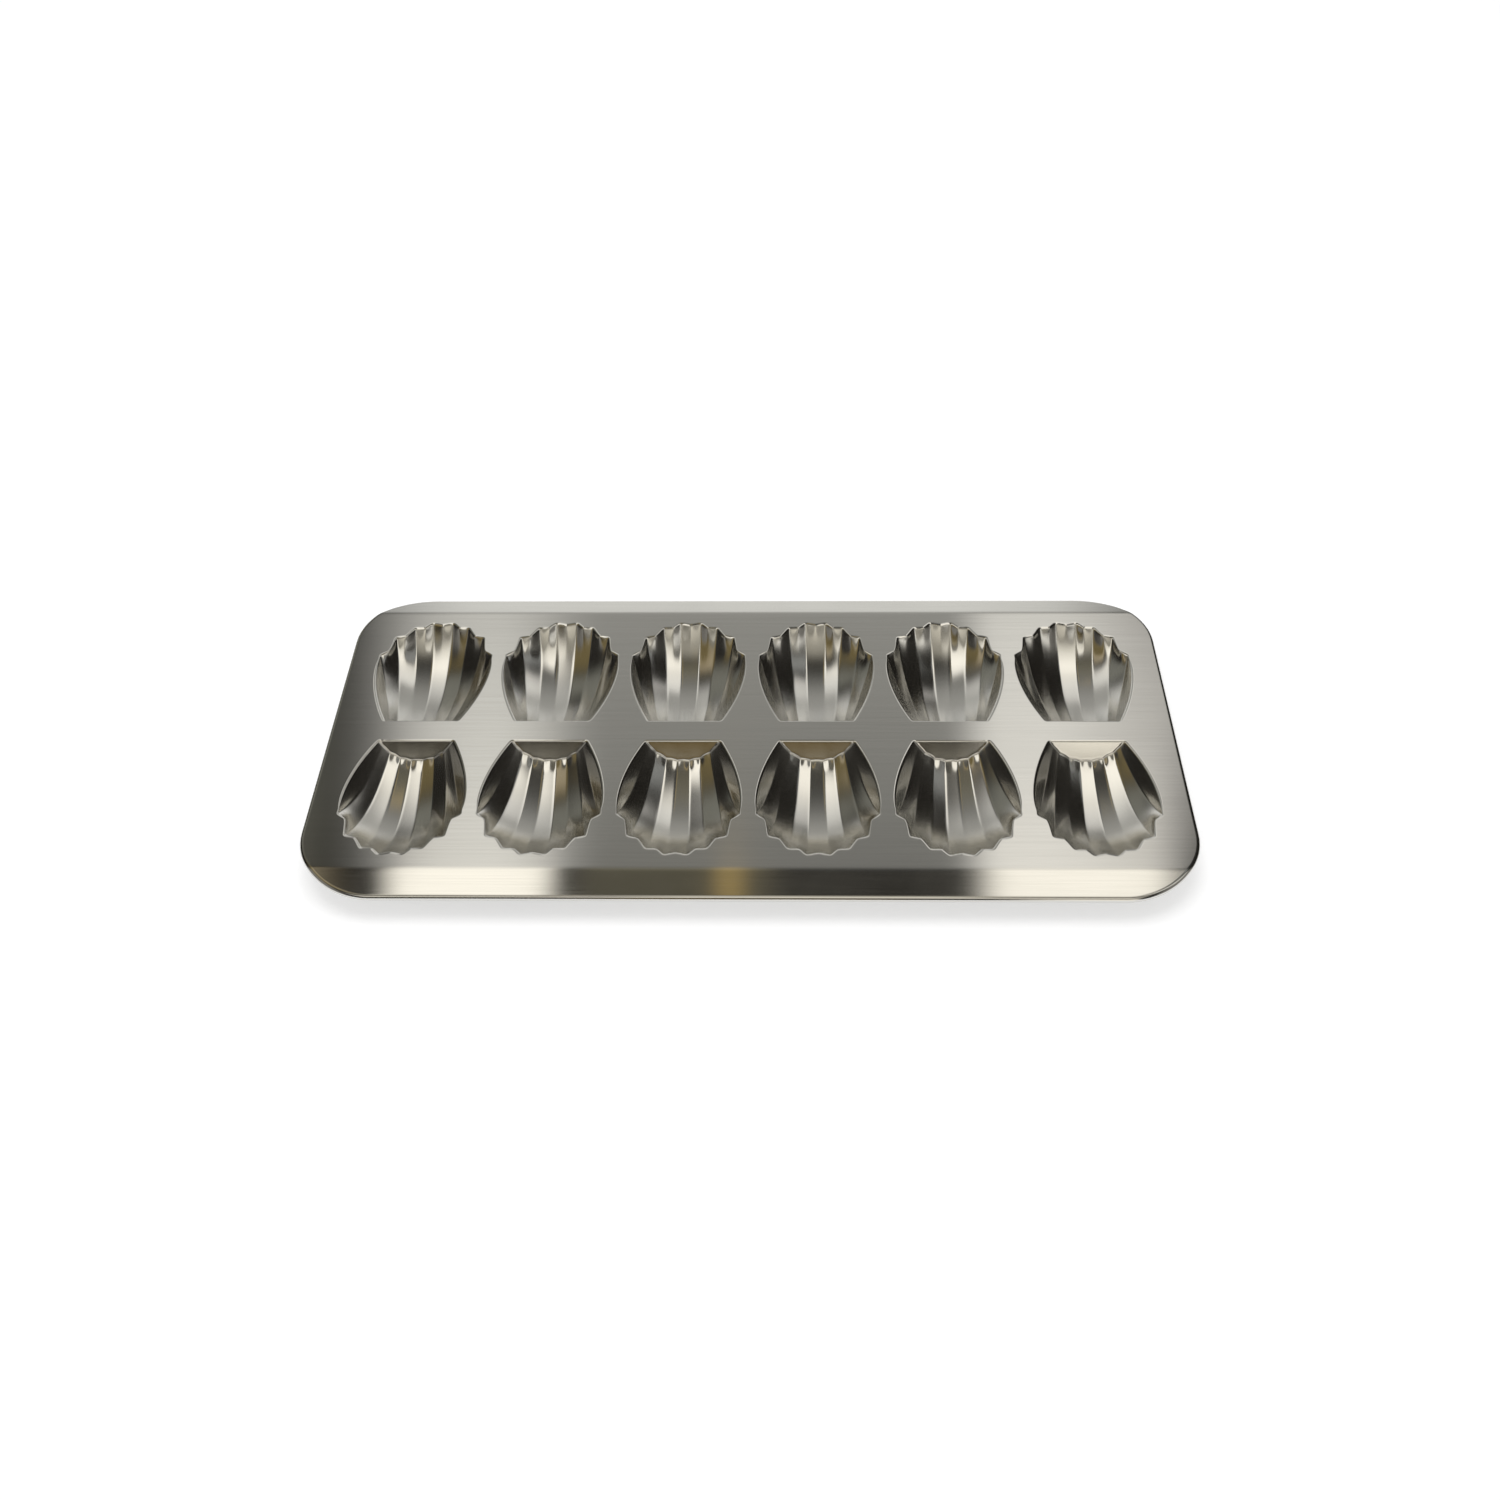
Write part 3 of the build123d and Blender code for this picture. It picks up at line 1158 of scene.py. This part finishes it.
@dataclass(frozen=True)
class Tent:
    """Cloth tent over the pan that only reflections see: lit panels on dark cloth."""

    radius: float = 900.0
    rings: int = 49
    spokes: int = 192
    cloth: str = "#211f1c"
    panels: Tuple[Panel, ...] = (
        # Wall behind the pan, and the pale cloth that rises from it
        Panel((-0.48, 0.36), (-20, 17), 0.18, 8, "#fffffd", 0.6),
        Panel((-0.37, 0.35), (-12, 54), 0.07, 28, "#fffef8", 0.4),
        # Two tall soft boxes, brighter at their upper ends, and a low strip right of the right one
        Panel((-0.405, -0.235), (35, 60), 0.06, 18, "#fffdf8", 0.67),
        Panel((-0.388, -0.23), (65, 90), 0.016, 22, "#fffaef", 1.95),
        Panel((0.213, 0.42), (32, 58), 0.03, 8, "#fffcf7", 0.64),
        Panel((0.42, 0.46), (28, 46), 0.03, 9, "#fffcf7", 0.62),
        Panel((0.222, 0.403), (64, 88), 0.026, 22, "#fffaef", 1.95),
        # Dim brownish things between and beside them
        Panel((-0.2, 0.0), (60, 80), 0.02, 9, "#fff4c8", 0.12),
        Panel((-0.06, -0.03), (56, 88), 0.012, 8, "#ffd470", 0.3),
        Panel((-0.72, -0.47), (12, 54), 0.06, 9, "#fffff0", 0.21),
        Panel((-0.72, -0.47), (62, 108), 0.06, 8, "#ffe296", 0.18),
        Panel((-0.53, -0.46), (64, 86), 0.04, 7, "#ffeed2", 0.38),
        Panel((0.43, 0.565), (66, 80), 0.025, 7, "#fdfffd", 0.39),
        # Roof lights on both sides
        Panel((0.47, 0.75), (97, 111), 0.09, 9, "#fffcf4", 1.3),
        Panel((-0.47, 0.49), (88, 108), 0.17, 6, "#fff8e6", 0.4),
        Panel((-0.12, 0.2), (108, 132), 0.06, 6, "#fff8e6", 0.45),
        Panel((-0.47, 0.49), (108, 132), 0.17, 6, "#fff8e6", 0.25),
        # Dim cloth far out on both sides, over the pan and towards the camera's side
        Panel((-1.1, -0.7), (88, 190), 0.07, 8, "#fffaf0", 0.24),
        Panel((0.7, 1.1), (88, 190), 0.07, 8, "#fffaf0", 0.24),
        # Room on the camera's side: pale above, dim and brown at the horizon, a window at the right
        Panel((-0.55, 0.5), (130, 147), 0.15, 7, "#fff9ec", 0.95),
        Panel((-0.6, 0.5), (162, 190), 0.15, 5, "#ffecc0", 0.03),
        Panel((-0.17, 0.12), (162, 190), 0.06, 5, "#ffcb3c", 0.13),
        Panel((0.25, 0.5), (158, 190), 0.05, 8, "#fff8ea", 1.25),
    )

    def dome(self) -> bpy.types.Object:
        """Half sphere of rings and spokes: radius times cos and sin of height and turn.

        Returns:
            The tent, which only reflections see.
        """
        height = np.linspace(0, np.pi / 2, self.rings)[:, None]
        turn = np.linspace(0, 2 * np.pi, self.spokes + 1)[:-1][None]
        x = self.radius * np.cos(height) * np.cos(turn)
        y = self.radius * np.cos(height) * np.sin(turn)
        z = self.radius * np.sin(height) * np.ones_like(turn)
        points = np.stack([x, y, z], axis=-1).reshape(-1, 3)
        mesh = bpy.data.meshes.new("tent")
        quads = grid_quads(*z.shape, closed=True)
        mesh.from_pydata((points * MM).tolist(), [], quads.tolist())
        tent = add_object("tent", mesh)
        for ray in ("camera", "diffuse", "shadow", "transmission", "volume_scatter"):
            setattr(tent, f"visible_{ray}", False)
        return tent

    def build(self) -> None:
        """Make the tent and light its panels.

        The share across is x over the radius, and the angle over is that of (y, z) in degrees.
        """
        tent = self.dome()
        material = empty_material("tent cloth")
        tree = material.node_tree
        place = add_node(tree, "ShaderNodeTexCoord").outputs["Object"]
        split = add_node(tree, "ShaderNodeSeparateXYZ", links={0: place})
        across = add_node(
            tree, "ShaderNodeMath", {"operation": "DIVIDE", 1: self.radius * MM},
            {0: split.outputs["X"]},
        )
        angle = add_node(
            tree, "ShaderNodeMath", {"operation": "ARCTAN2"},
            {0: split.outputs["Z"], 1: split.outputs["Y"]},
        )
        over = add_node(tree, "ShaderNodeMath", {"operation": "DEGREES"}, {0: angle.outputs[0]})
        sockets = {"across": across.outputs[0], "over": over.outputs[0]}
        cloth = add_node(tree, "ShaderNodeRGB")
        cloth.outputs[0].default_value = linear(self.cloth)
        light = cloth.outputs[0]
        for panel in self.panels:
            light = panel.light(tree, sockets, light)
        glow = add_node(tree, "ShaderNodeEmission", {"Strength": 1.0}, {"Color": light})
        add_node(tree, "ShaderNodeOutputMaterial", links={"Surface": glow.outputs[0]})
        tent.data.materials.append(material)


@dataclass(frozen=True)
class Studio:
    """Pale floor, soft light and the tent."""

    floor_half: float = 6000.0
    paper: str = "#dedede"
    floor_glow: float = 0.45
    room_level: float = 0.55
    lamp_place: Tuple[float, float, float] = (-150.0, 250.0, 1900.0)
    lamp_size: float = 1400.0
    lamp_power: float = 14.0

    def shown_rays(self, tree: bpy.types.NodeTree) -> Any:
        """Find the rays that show the background.

        Args:
            tree: Node tree to add the nodes to.

        Returns:
            Socket that is one for rays from the camera, reflections and glass, else zero.
        """
        path = add_node(tree, "ShaderNodeLightPath")
        shown = path.outputs["Is Camera Ray"]
        for name in ("Is Glossy Ray", "Is Transmission Ray"):
            shown = add_node(
                tree, "ShaderNodeMath", {"operation": "MAXIMUM"}, {0: shown, 1: path.outputs[name]}
            ).outputs[0]
        return shown

    def floor(self) -> None:
        """Add the floor, which shows white and keeps the pan's shadow."""
        mesh = bpy.data.meshes.new("floor")
        half = self.floor_half * MM
        corners = [(-half, -half, 0), (half, -half, 0), (half, half, 0), (-half, half, 0)]
        mesh.from_pydata(corners, [], [(0, 1, 2, 3)])
        material = empty_material("white paper")
        tree = material.node_tree
        paper = add_node(tree, "ShaderNodeBsdfDiffuse", {"Color": linear(self.paper)})
        level = add_node(
            tree, "ShaderNodeMath", {"operation": "MULTIPLY", 1: self.floor_glow},
            {0: self.shown_rays(tree)},
        )
        glow = add_node(tree, "ShaderNodeEmission", links={"Strength": level.outputs[0]})
        both = add_node(
            tree, "ShaderNodeAddShader", links={0: paper.outputs[0], 1: glow.outputs[0]}
        )
        add_node(tree, "ShaderNodeOutputMaterial", links={"Surface": both.outputs[0]})
        mesh.materials.append(material)
        add_object("floor", mesh)

    def world(self) -> None:
        """Light the scene evenly; the camera, reflections and glass see it white."""
        world = bpy.data.worlds.new("soft room")
        bpy.context.scene.world = world
        world.use_nodes = True
        tree = world.node_tree
        tree.nodes.clear()
        level = add_node(
            tree, "ShaderNodeMapRange", {"To Min": self.room_level, "To Max": 1.0},
            {"Value": self.shown_rays(tree)},
        )
        sky = add_node(
            tree, "ShaderNodeBackground", {"Color": (1, 1, 1, 1)},
            {"Strength": level.outputs["Result"]},
        )
        add_node(tree, "ShaderNodeOutputWorld", links={"Surface": sky.outputs[0]})

    def lamp(self) -> None:
        """Add the soft square lamp overhead, which faces the pan and isn't seen itself."""
        data = bpy.data.lights.new("overhead lamp", "AREA")
        data.shape = "SQUARE"
        data.size = self.lamp_size * MM
        data.energy = self.lamp_power
        lamp = add_object("overhead lamp", data)
        lamp.location = Vector(self.lamp_place) * MM
        lamp.rotation_euler = (-lamp.location).to_track_quat("-Z", "Y").to_euler()
        lamp.visible_camera = False
        lamp.visible_glossy = False

    def build(self) -> None:
        """Add floor, world, lamp and tent."""
        self.floor()
        self.world()
        self.lamp()
        Tent().build()
        bpy.context.scene.view_settings.view_transform = "Standard"


def dress(piece: bpy.types.Object, material: bpy.types.Material) -> None:
    """Give an object one material in all its slots.

    Args:
        piece: Object of a CAD node that stays in sight.
        material: Its material.
    """
    if not piece.data.materials:
        piece.data.materials.append(material)
    for slot in piece.material_slots:
        slot.material = material


def main() -> None:
    """Build the pan, dress it and set up the studio."""
    logging.basicConfig(level=logging.INFO, format="%(message)s")
    sizes = PanSizes()
    form = CupForm()
    numbers = range(1, sizes.cups_per_row + 1)
    cups = [Cup(sizes, form, row, number) for row in Row for number in numbers]
    points, quads, rim = form.sheet()
    brushed = BrushedSteel().material()
    # The press polishes the drawn cups: the grain is nearly gone, and the mirror a little duller
    drawn = BrushedSteel(
        "deep-drawn stainless steel", darker="#d6d5d1", roughness=(0.14, 0.17),
        line_depth=0.0002, wave_depth=0.0,
    ).material()
    pieces = [cup.build((points, quads, rim), drawn) for cup in cups]
    # The loop before the outermost one is the lip's end, where the flange starts
    lip_end = points[rim - len(rim)]
    deck = Deck(sizes, form)
    sheet, border = deck.build(lip_end, cups, brushed)
    edge = RolledEdge(sizes).build(*deck.outline(border), brushed)
    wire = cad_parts["rim_wire"]
    dress(wire, DrawnWire().material())
    for piece in (*pieces, sheet, edge, wire):
        finish = piece.active_material.name
        log.info("%s: %d faces, %s", piece.name, len(piece.data.polygons), finish)
    Studio().build()
    PhotoCamera().build()
    bpy.context.view_layer.update()


if __name__ == "__main__":
    main()
